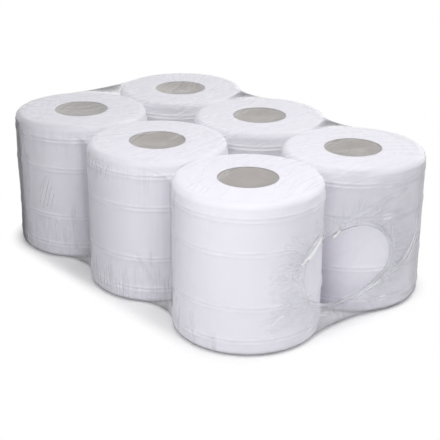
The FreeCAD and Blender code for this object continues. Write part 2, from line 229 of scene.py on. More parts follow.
def tissue_paper():
    """Bleached creped tissue, embossed and wound. It is matt and a little cool, with rows of
    fine dots round the side, and the edges of the turns show on the ends."""
    material, tree = blank("Embossed tissue paper")
    dots_round = 240
    dot_pitch = math.tau * ROLL_RADIUS / dots_round  # real dots of 1.2 mm, drawn at 2.4 mm
    turn_pitch = 0.9 * MM
    place, split, turned_by = round_the_axis(tree)
    flat = add(tree, "ShaderNodeVectorMath", [place, (1, 1, 0)], operation="MULTIPLY")
    radius = add(tree, "ShaderNodeVectorMath", [flat], operation="LENGTH")

    column = add(tree, "ShaderNodeMath", [turned_by, dots_round / math.tau], operation="MULTIPLY")
    row = add(tree, "ShaderNodeMath", [split["Z"], 1 / dot_pitch], operation="MULTIPLY")
    cell = add(tree, "ShaderNodeCombineXYZ", {"X": column, "Y": row})
    dots = add(tree, "ShaderNodeTexVoronoi", {"Vector": cell, "Scale": 1.0, "Randomness": 0.0},
               voronoi_dimensions="2D", feature="SMOOTH_F1")

    turn = add(tree, "ShaderNodeMath", [radius.outputs["Value"], 1 / turn_pitch],
               operation="MULTIPLY")
    edge = add(tree, "ShaderNodeCombineXYZ", {"X": turn, "Y": turned_by})
    turns = add(tree, "ShaderNodeTexNoise", {"Vector": edge, "Scale": 1.0, "Detail": 2.0},
                noise_dimensions="2D")

    facing = add(tree, "ShaderNodeNewGeometry").outputs["Normal"]
    upright = add(tree, "ShaderNodeSeparateXYZ", [facing]).outputs["Z"]
    steep = add(tree, "ShaderNodeMath", [upright], operation="ABSOLUTE")
    on_end = add(tree, "ShaderNodeMapRange", {"Value": steep, "From Min": 0.6, "From Max": 0.9},
                 interpolation_type="SMOOTHSTEP")
    relief = add(tree, "ShaderNodeMix", {0: on_end, 2: dots.outputs["Distance"],
                 3: turns.outputs["Fac"]}, data_type="FLOAT")
    fibres = add(tree, "ShaderNodeTexNoise", {"Vector": place, "Scale": 1 / (7 * MM),
                 "Detail": 4.0, "Roughness": 0.6})
    fluffed = add(tree, "ShaderNodeMath", [relief, fibres.outputs["Fac"]], operation="ADD")
    bump = add(tree, "ShaderNodeBump", {"Height": fluffed, "Strength": 0.35,
               "Distance": 0.25 * MM})
    tone = add(tree, "ShaderNodeMix", {0: fibres.outputs["Fac"], 6: colour("#F5F3FA"),
               7: colour("#ECEAF2")}, data_type="RGBA")
    shader = add(tree, "ShaderNodeBsdfPrincipled", {"Base Color": tone.outputs[2],
                 "Roughness": 0.92, "Specular IOR Level": 0.25, "Sheen Weight": 0.08,
                 "Normal": bump})
    add(tree, "ShaderNodeOutputMaterial", {"Surface": shader})
    return material


def wound_card():
    """Grey-brown recycled card, wound in a spiral. The seams between strips show as fine
    dark lines that climb the wall, the cut ends are darker, and the pulp gives a mottle."""
    material, tree = blank("Spiral wound card")
    strip = 55 * MM
    seam_share = 0.02
    place, split, turned_by = round_the_axis(tree)
    turned = add(tree, "ShaderNodeMath", [turned_by, 1 / math.tau], operation="MULTIPLY")
    climbed = add(tree, "ShaderNodeMath", [split["Z"], 1 / strip, turned],
                  operation="MULTIPLY_ADD")
    across = add(tree, "ShaderNodeMath", [climbed], operation="FRACT")
    seam = add(tree, "ShaderNodeMath", [across, seam_share], operation="LESS_THAN")
    pulp = add(tree, "ShaderNodeTexNoise", {"Vector": place, "Scale": 1 / (4 * MM), "Detail": 5.0,
               "Roughness": 0.65})
    body = add(tree, "ShaderNodeMix", {0: pulp.outputs["Fac"], 6: colour("#C2BAB4"),
               7: colour("#B3ABA5")}, data_type="RGBA")
    lowest = add(tree, "ShaderNodeMath", [split["Z"], ROLL_FOOT + MM], operation="LESS_THAN")
    highest = add(tree, "ShaderNodeMath", [split["Z"], ROLL_TOP - MM], operation="GREATER_THAN")
    ends = add(tree, "ShaderNodeMath", [lowest, highest], operation="MAXIMUM")
    dark = add(tree, "ShaderNodeMath", [ends, seam], operation="MAXIMUM")
    tone = add(tree, "ShaderNodeMix", {0: dark, 6: body.outputs[2], 7: colour("#78716B")},
               data_type="RGBA")
    bump = add(tree, "ShaderNodeBump", {"Height": pulp.outputs["Fac"], "Strength": 0.3,
               "Distance": 0.2 * MM})
    shader = add(tree, "ShaderNodeBsdfPrincipled", {"Base Color": tone.outputs[2],
                 "Roughness": 0.85, "Specular IOR Level": 0.3, "Normal": bump})
    add(tree, "ShaderNodeOutputMaterial", {"Surface": shader})
    return material


def tension_lines(tree, name, across, along):
    """Fine lines that run with the pull of the film. The named attribute holds the distance
    across the pull, the distance along it, and how much the film is pulled there."""
    drawn = add(tree, "ShaderNodeAttribute", attribute_name=name).outputs["Vector"]
    split = add(tree, "ShaderNodeSeparateXYZ", [drawn]).outputs
    share_across = add(tree, "ShaderNodeMath", [split["X"], 1 / across], operation="MULTIPLY")
    share_along = add(tree, "ShaderNodeMath", [split["Y"], 1 / along], operation="MULTIPLY")
    spot = add(tree, "ShaderNodeCombineXYZ", {"X": share_across, "Y": share_along})
    wander = add(tree, "ShaderNodeTexNoise", {"Vector": spot, "Scale": 1.0, "Detail": 1.0},
                 noise_dimensions="2D")
    from_level = add(tree, "ShaderNodeMath", [wander.outputs["Fac"], 0.5], operation="SUBTRACT")
    off = add(tree, "ShaderNodeMath", [from_level], operation="ABSOLUTE")
    line = add(tree, "ShaderNodeMapRange", {"Value": off, "From Min": 0.0, "From Max": 0.055,
               "To Min": 1.0, "To Max": 0.0}, interpolation_type="SMOOTHSTEP")
    return add(tree, "ShaderNodeMath", [line, split["Z"]], operation="MULTIPLY")


def shrink_film():
    """Clear polyolefin film after the shrink tunnel. It is glossy and almost clear where it
    lies flat, white and mirror-bright where it is creased or bunched into a rim, and hazy
    round the bull's-eyes. Shade is painted into it as grey on the far side, in the valleys
    and round its base, and a little among the crumples round the bull's-eyes. Fine lines run
    along its pull."""
    material, tree = blank("Clear shrink film")
    place = add(tree, "ShaderNodeTexCoord").outputs["Object"]
    crinkle = add(tree, "ShaderNodeTexNoise", {"Vector": place, "Scale": 1 / (16 * MM),
                  "Detail": 2.5, "Distortion": 0.8})
    pulled = tension_lines(tree, "along_pull", 15 * MM, 190 * MM)
    gathered = tension_lines(tree, "round_eye", 11 * MM, 34 * MM)
    lines = add(tree, "ShaderNodeMath", [pulled, gathered], operation="ADD", use_clamp=True)
    soft = add(tree, "ShaderNodeBump", {"Height": crinkle.outputs["Fac"], "Strength": 0.6,
               "Distance": 0.9 * MM})
    bump = add(tree, "ShaderNodeBump", {"Height": lines, "Strength": 0.5, "Distance": 0.25 * MM,
               "Normal": soft})
    crease = add(tree, "ShaderNodeAttribute", attribute_name="crease").outputs["Fac"]
    painted_shade = add(tree, "ShaderNodeAttribute", attribute_name="painted_shade").outputs["Fac"]
    eye_marks = add(tree, "ShaderNodeAttribute", attribute_name="round_eye")
    by_eye = add(tree, "ShaderNodeSeparateXYZ", [eye_marks.outputs["Vector"]]).outputs["Z"]
    lined = add(tree, "ShaderNodeMath", [lines, 0.06, 0.05], operation="MULTIPLY_ADD")
    crumpled = add(tree, "ShaderNodeMath", [by_eye, 0.1, lined], operation="MULTIPLY_ADD")
    # painted shade: the film is greyed where shade falls, over the far valleys, on the far
    # walls, in the valleys and round its base; on the walls the painted grey shows most where
    # they are seen edge on
    flat_on = add(tree, "ShaderNodeLayerWeight", {"Blend": 0.5})
    edge_on = add(tree, "ShaderNodeMapRange", {"Value": flat_on.outputs["Facing"],
                  "From Min": 0.35, "From Max": 0.88}, interpolation_type="SMOOTHSTEP")
    surface = add(tree, "ShaderNodeNewGeometry").outputs["Normal"]
    upright = add(tree, "ShaderNodeSeparateXYZ", [surface]).outputs["Z"]
    level = add(tree, "ShaderNodeMath", [upright], operation="ABSOLUTE")
    depth = add(tree, "ShaderNodeMix", {0: level, 2: edge_on, 3: 0.95}, data_type="FLOAT")
    painted_shade_seen = add(tree, "ShaderNodeMath", [painted_shade, depth], operation="MULTIPLY", use_clamp=True)
    uncreased = add(tree, "ShaderNodeMath", [1.0, crease], operation="SUBTRACT")
    grey = add(tree, "ShaderNodeMath", [painted_shade_seen, uncreased], operation="MULTIPLY")
    # painted shade also raises the milk's share, so that its grey covers the paper beneath; the
    # crumples round the bull's-eyes add real haze
    milk_with_painted_shade = add(tree, "ShaderNodeMath", [grey, 0.85, crumpled], operation="MULTIPLY_ADD")
    tight = add(tree, "ShaderNodeMath", [crease, 2.0], operation="POWER")
    loose = add(tree, "ShaderNodeMath", [crease, tight], operation="SUBTRACT")
    folded = add(tree, "ShaderNodeMath", [loose, 0.8, milk_with_painted_shade], operation="MULTIPLY_ADD")
    milky = add(tree, "ShaderNodeMath", [tight, 0.2, folded], operation="MULTIPLY_ADD",
                use_clamp=True)
    # painted shade: the film round the bull's-eyes is greyed a little for the shade among its
    # crumples
    eye_painted_shade = add(tree, "ShaderNodeMath", [by_eye, 0.04], operation="MULTIPLY")
    greyed = add(tree, "ShaderNodeMath", [grey, 2.0, eye_painted_shade], operation="MULTIPLY_ADD",
                 use_clamp=True)
    # the milk's tone runs from white film to the grey of painted shade
    tone = add(tree, "ShaderNodeMix", {0: greyed, 6: colour("#F4F4F8"), 7: colour("#6F7076")},
               data_type="RGBA")
    # the share that each face of a clear film mirrors, from face on to edge on, and more
    # where many layers are bunched
    facing = add(tree, "ShaderNodeLayerWeight", {"Blend": 0.5, "Normal": bump})
    slant = add(tree, "ShaderNodeMath", [facing.outputs["Facing"], 7.0], operation="POWER")
    single = add(tree, "ShaderNodeMath", [slant, 0.96, 0.04], operation="MULTIPLY_ADD")
    mirror = add(tree, "ShaderNodeMath", [tight, 0.85, single], operation="MULTIPLY_ADD",
                 use_clamp=True)
    spread = add(tree, "ShaderNodeMath", [crease, 0.22, 0.1], operation="MULTIPLY_ADD")
    clear = add(tree, "ShaderNodeBsdfTransparent", {"Color": (1, 1, 1, 1)})
    gloss = add(tree, "ShaderNodeBsdfAnisotropic", {"Color": (1, 1, 1, 1), "Roughness": spread,
                "Normal": bump})
    pane = add(tree, "ShaderNodeMixShader", [mirror, clear, gloss])
    front_lit = add(tree, "ShaderNodeBsdfPrincipled", {"Base Color": tone.outputs[2],
                    "Roughness": 0.3, "Specular IOR Level": 0.1, "Normal": bump})
    back_lit = add(tree, "ShaderNodeBsdfTranslucent", {"Color": tone.outputs[2], "Normal": bump})
    milk = add(tree, "ShaderNodeMixShader", [0.35, front_lit, back_lit])
    shader = add(tree, "ShaderNodeMixShader", [milky, pane, milk])
    add(tree, "ShaderNodeOutputMaterial", {"Surface": shader})
    return material


TISSUE = tissue_paper()
CARD = wound_card()
FILM = shrink_film()

# ------------------------------------------------------------------ rolls and cores


def named_inputs(tree, kinds, result):
    """The sockets of a node tree that makes a piece."""
    for name, kind in kinds.items():
        tree.interface.new_socket(name, in_out="INPUT", socket_type=f"NodeSocket{kind}")
    tree.interface.new_socket(result, in_out="OUTPUT", socket_type="NodeSocketGeometry")
    return add(tree, "NodeGroupInput").outputs


def turning_tree():
    """Sweeps a half section round an upright axis, presses it flat where it meets its
    neighbours, lets it waver as soft paper does, and stands it at its place. The section is
    drawn from the bore outwards, with its height downwards."""
    tree = bpy.data.node_groups.new("Turned and pressed", "GeometryNodeTree")
    given = named_inputs(tree, {
        "Section": "Geometry", "Steps": "Int", "Bore": "Float", "Low Press": "Vector",
        "High Press": "Vector", "Waver": "Float", "Waver Size": "Float", "Seed": "Float",
        "Place": "Vector", "Finish": "Material"}, "Piece")
    ring = add(tree, "GeometryNodeCurvePrimitiveCircle", {"Resolution": given["Steps"],
               "Radius": given["Bore"]})
    section = add(tree, "GeometryNodeMeshToCurve", [given["Section"]])
    swept = add(tree, "GeometryNodeCurveToMesh", {"Curve": ring, "Profile Curve": section})

    place = add(tree, "GeometryNodeInputPosition")
    radial = add(tree, "ShaderNodeVectorMath", [place, (1, 1, 0)], operation="MULTIPLY")
    outward = add(tree, "ShaderNodeVectorMath", [radial], operation="NORMALIZE")
    spread = add(tree, "ShaderNodeMath", [1.0, given["Waver Size"]], operation="DIVIDE")
    noise = add(tree, "ShaderNodeTexNoise", {"Vector": place, "W": given["Seed"], "Scale": spread,
                "Detail": 1.0}, noise_dimensions="4D")
    sunk = add(tree, "ShaderNodeMath", [noise.outputs["Fac"], given["Waver"]],
               operation="MULTIPLY")
    inward = add(tree, "ShaderNodeMath", [sunk, -1.0], operation="MULTIPLY")
    shift = add(tree, "ShaderNodeVectorMath", {0: outward, "Scale": inward}, operation="SCALE")
    soft = add(tree, "GeometryNodeSetPosition", {"Geometry": swept, "Offset": shift})

    above = add(tree, "ShaderNodeVectorMath", [place, given["Low Press"]], operation="MAXIMUM")
    between = add(tree, "ShaderNodeVectorMath", [above, given["High Press"]], operation="MINIMUM")
    pressed = add(tree, "GeometryNodeSetPosition", {"Geometry": soft, "Position": between})
    marked = add(tree, "GeometryNodeStoreNamedAttribute", {"Geometry": pressed,
                 "Name": "from_axis", "Value": place}, data_type="FLOAT_VECTOR")
    stood = add(tree, "GeometryNodeTransform", {"Geometry": marked,
                "Translation": given["Place"]})
    return made_into_piece(tree, stood, given["Finish"])


def bead_swell(z):
    """How far the embossed beads stand out of the side at a height. Each is a pair of
    rounded ridges with a groove between them."""
    total = np.zeros_like(z)
    for level in BEADS:
        near = np.clip((z - level) / (BEAD_WIDTH / 2), -1, 1)
        total += BEAD_RIDGE * np.sin(math.pi * near) ** 2
    return total


def heights(low, high, step, on_bead):
    """Heights of a wall's rows: even ones, and a number of closer ones on each bead."""
    rows = list(np.linspace(low, high, round((high - low) / step) + 1))
    half = BEAD_WIDTH / 2
    rows = [z for z in rows if min(abs(z - level) for level in BEADS) > half + step / 3]
    for level in BEADS:
        rows += list(level + np.linspace(-half, half, on_bead))
    return np.array(sorted(rows))


def groove_depth(radius):
    """How deep the parted turns lie in the end of a roll."""
    total = np.zeros_like(radius)
    for groove in TURN_RADII:
        total += TURN_GROOVE * np.exp(-((radius - groove) / (1.2 * MM)) ** 2)
    return total


def roll_section():
    """Half section of a wound roll as radii and heights, anticlockwise from its bore's foot."""
    flat = ROLL_RADIUS - ROLL_RIM
    radii = np.linspace(CORE_RADIUS, flat, 33)[:-1]
    turn = np.linspace(0, math.pi / 2, 8)
    rim_out = flat + ROLL_RIM * np.sin(turn)
    rim_up = ROLL_RIM * (1 - np.cos(turn))
    wall = heights(ROLL_FOOT + ROLL_RIM, ROLL_TOP - ROLL_RIM, step=8 * MM, on_bead=13)[1:-1]
    low_end = np.column_stack([radii, ROLL_FOOT + groove_depth(radii)])
    low_rim = np.column_stack([rim_out, ROLL_FOOT + rim_up])
    side = np.column_stack([ROLL_RADIUS + bead_swell(wall), wall])
    high_rim = np.column_stack([rim_out, ROLL_TOP - rim_up])[::-1]
    high_end = np.column_stack([radii, ROLL_TOP - groove_depth(radii)])[::-1]
    return np.vstack([low_end, low_rim, side, high_rim, high_end])


def tube_section():
    """Half section of a card core, with its cut ends a little rounded."""
    inner, outer = CORE_RADIUS - CORE_WALL, CORE_RADIUS
    nip = 0.3 * MM
    return np.array([
        (inner + nip, ROLL_FOOT), (outer - nip, ROLL_FOOT), (outer, ROLL_FOOT + nip),
        (outer, ROLL_TOP - nip), (outer - nip, ROLL_TOP), (inner + nip, ROLL_TOP),
        (inner, ROLL_TOP - nip), (inner, ROLL_FOOT + nip)])


def section_mesh(name, section, bore):
    """A closed section as edges, ready for the turning tree."""
    count = len(section)
    edges = [(i, (i + 1) % count) for i in range(count)]
    return plain_mesh(name, [(r - bore, -z, 0) for r, z in section], (), edges)


def press_planes(axis):
    """How far a roll reaches each way before it meets a neighbour, from its own axis."""
    free = 2 * ROLL_HEIGHT
    low, high = Vector((-free, -free, -free)), Vector((free, free, free))
    for other in AXES:
        gap = other - axis
        for way in (0, 1):
            if abs(gap[1 - way]) < ROLL_RIM and 0 < abs(gap[way]) < 2.1 * ROLL_RADIUS:
                if gap[way] > 0:
                    high[way] = gap[way] / 2
                else:
                    low[way] = gap[way] / 2
    return low, high


def make_rolls_and_cores():
    """Each wound roll and its core, both from the one tree. Only the rolls are pressed."""
    tree = turning_tree()
    everywhere = Vector((1, 1, 1))
    inner = CORE_RADIUS - CORE_WALL
    for number, axis in enumerate(AXES, start=1):
        low, high = press_planes(axis)
        shared = {"Waver Size": 60 * MM, "Seed": float(number), "Place": Vector((*axis, 0))}
        section = section_mesh("roll_section", roll_section(), CORE_RADIUS)
        paper = grown(tree, f"wound_roll_{number}", section, {
            **shared, "Steps": 208, "Bore": CORE_RADIUS, "Low Press": low,
            "High Press": high, "Waver": 0.5 * MM, "Finish": TISSUE})
        show(f"wound_roll_{number}", paper, "tissue", f"paper_roll_{number}")
        section = section_mesh("tube_section", tube_section(), inner)
        card = grown(tree, f"card_core_{number}", section, {
            **shared, "Steps": 128, "Bore": inner, "Low Press": -everywhere,
            "High Press": everywhere, "Waver": 0.0, "Finish": CARD})
        show(f"card_core_{number}", card, "core_card", f"core_tube_{number}")


# ------------------------------------------------------------------ the film's form


def valley(here, after):
    """Middle and radius of the valley that the film makes between two rolls."""
    gap = after - here
    radius = END_VALLEY if abs(gap.y) > abs(gap.x) else SIDE_VALLEY
    way = gap.normalized()
    reach = math.sqrt((ROLL_RADIUS + radius) ** 2 - (gap.length / 2) ** 2)
    return (here + after) / 2 + Vector((way.y, -way.x)) * reach, radius


def bearing(middle, point):
    """The direction of a point from a middle, seen from above."""
    return math.atan2(point.y - middle.y, point.x - middle.x)


def follow_outline():
    """The pack's outline from above, anticlockwise from the middle roll on the -Y side. Each
    sample has its distance along, place, outward normal, how closely the film hugs a roll
    there, and how deep in a valley it lies."""
    spacing = 0.5 * MM
    ease = 14 * MM
    order = AXES[1:] + AXES[:1]
    columns = []
    gone = 0.0
    for last, here, after in zip(order[-1:] + order[:-1], order, order[1:] + order[:1]):
        before, _ = valley(last, here)
        hollow, bend = valley(here, after)
        start, end = bearing(here, before), bearing(here, hollow)
        far, near = bearing(hollow, here), bearing(hollow, after)
        runs = ((here, ROLL_RADIUS, start, (end - start) % math.tau, 1),
                (hollow, bend, far, -((far - near) % math.tau), -1))
        for middle, radius, first, sweep, side in runs:
            length = abs(sweep) * radius
            steps = math.ceil(length / spacing)
            share = np.arange(steps) / steps
            turn = first + sweep * share
            from_end = np.minimum(share, 1 - share) * length
            hug = smooth(from_end / ease) if side > 0 else 0 * share
            deep = 0 * share if side > 0 else np.sin(math.pi * share) ** 2
            columns.append(np.column_stack([
                gone + share * length,
                middle.x + radius * np.cos(turn), middle.y + radius * np.sin(turn),
                side * np.cos(turn), side * np.sin(turn), hug, deep]))
            gone += length
    return np.vstack(columns).T, gone


OUTLINE, ROUND = follow_outline()
# the film's section: round its edge, up its straight wall, and all the way to the top
EDGE = FILM_RIM * math.pi / 2
WALL = FILM_TOP - FILM_FOOT - 2 * FILM_RIM
RISE = WALL + 2 * EDGE


def along_outline(s):
    """Place, outward normal, hug and valley share at distances round the pack."""
    return [np.interp(s, OUTLINE[0], row, period=ROUND) for row in OUTLINE[1:]]


def film_swell(z):
    """The film stretches from bead to bead, so it stands off the flat paper between them,
    and it bridges the groove in the middle of each."""
    total = np.full_like(z, BETWEEN_BEADS * BEAD_RIDGE)
    for level in BEADS:
        near = np.clip(np.abs(z - level) / (BEAD_WIDTH / 2), 0.5, 1)
        total += OVER_BEADS * BEAD_RIDGE * np.sin(math.pi * near) ** 2
    return total


def lay_wall(s, t):
    """Lays the film at distance s round the pack and t up its section, which starts under the
    pack and ends on top of it. Gives places, outward normals and the normals' tilt."""
    x, y, nx, ny, hug, _ = along_outline(s)
    tilt = np.clip(t / FILM_RIM - math.pi / 2, -math.pi / 2, 0)
    tilt = tilt + np.clip((t - EDGE - WALL) / FILM_RIM, 0, math.pi / 2)
    z = FILM_FOOT + FILM_RIM + np.clip(t - EDGE, 0, WALL) + FILM_RIM * np.sin(tilt)
    out = CLEAR + film_swell(z) * hug - FILM_RIM * (1 - np.cos(tilt))
    places = np.column_stack([x + nx * out, y + ny * out, z])
    normals = np.column_stack([nx * np.cos(tilt), ny * np.cos(tilt), np.sin(tilt)])
    return places, normals, tilt


def eye_reach(y, z):
    """How far a spot of an end wall lies outside the bull's-eye's edge, and its bearing."""
    dy, dz = y - EYE_Y, z - EYE_Z
    far = np.hypot(dy, dz) + 1e-9
    angle = np.arctan2(dz / EYE_HALF_HEIGHT, dy / EYE_HALF_WIDTH)
    # the opening's edge wanders, and one low corner of it is pulled in
    cut_corner = 0.13 * np.exp(-((angle + 2.35) / 0.5) ** 2)
    wander = 1 + 0.02 * np.sin(3 * angle + 0.7) + 0.018 * np.sin(5 * angle + 2.1) - cut_corner
    share = (np.abs(dy / EYE_HALF_WIDTH) ** EYE_SQUARENESS
             + np.abs(dz / EYE_HALF_HEIGHT) ** EYE_SQUARENESS) ** (1 / EYE_SQUARENESS)
    return far - far * wander / share, angle


def eye_ring(gap, count):
    """Spots of an end wall at one distance outside the bull's-eye's edge."""
    angle = np.arange(count) * math.tau / count
    y = EYE_Y + EYE_HALF_WIDTH * np.cos(angle)
    z = EYE_Z + EYE_HALF_HEIGHT * np.sin(angle)
    for _ in range(4):
        off, _ = eye_reach(y, z)
        dy, dz = y - EYE_Y, z - EYE_Z
        pull = (off - gap) / np.hypot(dy, dz)
        y, z = y - dy * pull, z - dz * pull
    return y, z


def end_distance(side, y):
    """Distance round the pack of spots on an end wall."""
    s, x, v = OUTLINE[0], OUTLINE[1], OUTLINE[2]
    ends = np.flatnonzero((side * x > END_X) & (np.abs(v) < AXES[3].y + ROLL_RADIUS))
    order = ends[np.argsort(v[ends])]
    return np.interp(y, v[order], s[order])


def rise_at(z):
    """Distance up the film's section of a height on its straight wall."""
    return EDGE + z - FILM_FOOT - FILM_RIM


# ------------------------------------------------------------------ the film's folds

FOLD_SEED = 11
DICE = np.random.default_rng(FOLD_SEED)


def some(low, high):
    """A random length between two, given in millimetres."""
    return DICE.uniform(low, high) * MM


def about(middle, spread):
    """A random length near one, given in millimetres."""
    return DICE.normal(middle, spread) * MM


def ridges(u, v, folds, period=None):
    """Height of soft ridges over a flat plane. A fold has its two ends, rise, half width and
    bow."""
    total = np.zeros_like(u)
    for (u0, v0), (u1, v1), rise, width, bow in folds:
        du = u - u0
        if period:
            du = (du + period / 2) % period - period / 2
        dv = v - v0
        run_u, run_v = u1 - u0, v1 - v0
        run = math.hypot(run_u, run_v)
        share = (du * run_u + dv * run_v) / run ** 2
        inside = np.clip(4 * share * (1 - share), 0, 1)
        across = (du * run_v - dv * run_u) / run - bow * inside
        near = inside > 0
        ridge = np.zeros_like(u)
        ridge[near] = rise * np.sqrt(inside[near]) * np.exp(-(across[near] / width) ** 2)
        total = np.maximum(total, ridge)
    return total


def sway(places, size, seed):
    """Slow waves through space, between about -1 and 1."""
    dice = np.random.default_rng(seed)
    total = 0
    waves = 7
    for _ in range(waves):
        way = dice.normal(size=3)
        way *= math.tau / (size * dice.uniform(0.7, 1.6) * np.linalg.norm(way))
        total = total + np.sin(places @ way + dice.uniform(0, math.tau))
    return total / math.sqrt(waves) / 1.4


def top_folds():
    """Folds on the top. They run across the sleeve, fan out towards its long sides, and leave
    the near faces of two rolls smooth."""
    folds = []
    reach_x = END_X + 0.85 * ROLL_RADIUS
    while len(folds) < TOP_FOLD_COUNT:
        x = DICE.uniform(-reach_x, reach_x)
        y = some(-150, 150)
        on_corner_roll = x > END_X - 10 * MM and y < AXES[2].y + 30 * MM
        on_middle_roll = abs(x) < 45 * MM and y < AXES[1].y - 20 * MM
        half = some(12, 42)
        lean = TOP_SPREAD * 2 * x * y + DICE.normal(-0.1, 0.13)
        rise, width = some(0.15, 0.45), some(1.5, 2.4)
        if on_corner_roll or on_middle_roll:
            continue
        folds.append(((x - lean * half, y - half), (x + lean * half, y + half), rise, width,
                      about(0, 1)))
    return folds


def nearest(point):
    """Distance round the pack of the spot of its outline nearest to a point."""
    return OUTLINE[0][np.argmin((OUTLINE[1] - point.x) ** 2 + (OUTLINE[2] - point.y) ** 2)]


def roll_facing(axis):
    """Distance round the pack where a roll faces straight out of a long side."""
    return nearest(axis + Vector((0, math.copysign(ROLL_RADIUS, axis.y))))


def side_folds():
    """Folds on the long sides: pleats that rise from the base, a hatch under the top rim, and
    creases low in the valleys. The clean roll has few."""
    folds = []
    for number, axis in enumerate(AXES, start=1):
        middle = roll_facing(axis)
        pleats, hatches = (3, 3) if number == CLEAN_ROLL else (13, 10)
        for _ in range(pleats):
            s = middle + some(-75, 62)
            top = some(24, 62)
            folds.append(((s, 2 * MM), (s + about(0, 4), top), some(0.3, 0.6),
                          some(2.0, 2.8), about(0, 1.2)))
        for _ in range(hatches):
            s = middle + some(-78, 10)
            low = some(160, 172)
            folds.append(((s, low), (s + some(4, 9), 192 * MM), some(0.3, 0.5),
                          some(1.8, 2.4), 0.0))
    for here, after in zip(AXES, AXES[1:] + AXES[:1]):
        if abs(after.x - here.x) < ROLL_RIM:
            continue
        s = nearest((here + after) / 2)
        for _ in range(6):
            spot = s + some(-20, 20)
            low = some(4, 30)
            folds.append(((spot, low), (spot + about(0, 9), low + some(20, 60)),
                          some(0.3, 0.7), some(1.8, 2.8), about(0, 2)))
    return folds


def far_roll_creases():
    """Pleats low on the -X -Y roll, and the long creases where the film leaves it."""
    middle = roll_facing(AXES[0])
    # (start, end, rise, half width), as distance round the roll and height in millimetres
    creases = (
        ((32, 64), (29, 36), 0.5, 2.4),
        ((42, 62), (41, 30), 0.6, 2.4),
        ((51, 60), (52, 26), 0.6, 2.4),
        ((61, 52), (64, 22), 0.6, 2.4),
        ((4, 150), (0, 84), 0.5, 3.4),
        ((-12, 184), (-14, 60), 0.7, 3.6),
        ((-28, 180), (-26, 40), 0.7, 3.6),
        ((-40, 176), (-44, 90), 0.7, 3.4),
    )
    return [((middle + s0 * MM, z0 * MM), (middle + s1 * MM, z1 * MM), rise * MM,
             width * MM, 0.0) for (s0, z0), (s1, z1), rise, width in creases]


def end_folds(side):
    """Folds on a short end: gathers that run out from the bull's-eye, and the creases that
    the film's pull leaves beside it."""
    folds = []
    gathers, all_round = 20, 8  # the first stand all round the opening, the rest beside it
    for number in range(gathers):
        gap = some(5, 9)
        length = some(12, 34)
        turn = DICE.uniform(0, math.tau) if number < all_round else DICE.uniform(2.3, 4.0)
        y0 = EYE_Y + (EYE_HALF_WIDTH + gap) * math.cos(turn)
        z0 = EYE_Z + (EYE_HALF_HEIGHT + gap) * math.sin(turn)
        lean = turn + DICE.normal(0, 0.25)
        y1, z1 = y0 + length * math.cos(lean), z0 + length * math.sin(lean)
        z1 = min(max(z1, 4 * MM), 190 * MM)
        folds.append(((y0, z0), (y1, z1), some(0.2, 0.5), some(2.0, 3.0), about(0, 1)))
    # (start, end, rise, half width, bow) in millimetres, y then z
    creases = (
        ((-46, 137), (-86, 115), 1.8, 2.2, 3.0),
        ((-14, 140), (-34, 130), 1.4, 1.8, 0.0),
        ((-22, 146), (50, 152), 1.0, 2.4, 5.0),
        ((50, 152), (92, 168), 0.7, 2.4, 0.0),
        ((127, 118), (74, 55), 1.2, 3.0, -9.0),
        ((78, 62), (70, 126), 0.8, 1.8, 2.0),
        ((66, 46), (20, 30), 1.2, 3.4, 3.0),
        ((-36, 78), (-72, 62), 1.3, 3.0, -6.0),
        ((-70, 63), (-104, 66), 1.0, 2.8, 0.0),
        ((-84, 116), (-127, 112), 0.5, 2.3, 2.0),
        ((-90, 107), (-130, 104), 0.45, 2.2, -2.0),
        ((-93, 99), (-127, 95), 0.5, 2.2, 2.0),
        ((-97, 90), (-130, 84), 0.45, 2.2, -2.0),
        ((-100, 80), (-126, 72), 0.45, 2.2, 2.0),
        ((-104, 66), (-128, 58), 0.5, 2.3, 1.0),
        ((-100, 54), (-140, 44), 0.55, 2.3, 2.0),
        ((-90, 44), (-134, 34), 0.5, 2.3, -2.0),
        ((-70, 134), (-104, 150), 0.6, 2.2, 0.0),
        ((-92, 130), (-112, 142), 0.6, 2.0, 0.0),
        ((-60, 34), (-20, 22), 0.8, 2.2, 0.0),
    )
    for (y0, z0), (y1, z1), rise, width, bow in creases:
        folds.append(((y0 * MM, z0 * MM), (y1 * MM, z1 * MM), rise * MM, width * MM,
                      bow * MM))
    turned = []
    for (y0, z0), (y1, z1), rise, width, bow in folds:
        ends = end_distance(side, np.array([y0, y1]))
        turned.append(((ends[0], z0), (ends[1], z1), rise, width, bow * side))
    return turned


TOP_FOLDS = top_folds()
WALL_FOLDS = side_folds() + far_roll_creases() + end_folds(1) + end_folds(-1)


def top_relief(x, y):
    """Folds of the top, and the dips over the bores and the gaps between four rolls."""
    crease = ridges(x, y, TOP_FOLDS)
    sag = np.zeros_like(x)
    dips = [(axis, BORE_SAG, BORE_SAG_RADIUS) for axis in AXES]
    dips += [((AXES[here] + AXES[across]) / 2, GAP_SAG, GAP_SAG_RADIUS)
             for here, across in ((0, 4), (1, 3))]
    for middle, depth, radius in dips:
        near = np.clip(1 - ((x - middle.x) ** 2 + (y - middle.y) ** 2) / radius ** 2, 0, 1)
        sag += depth * near ** 2
    return crease, sag


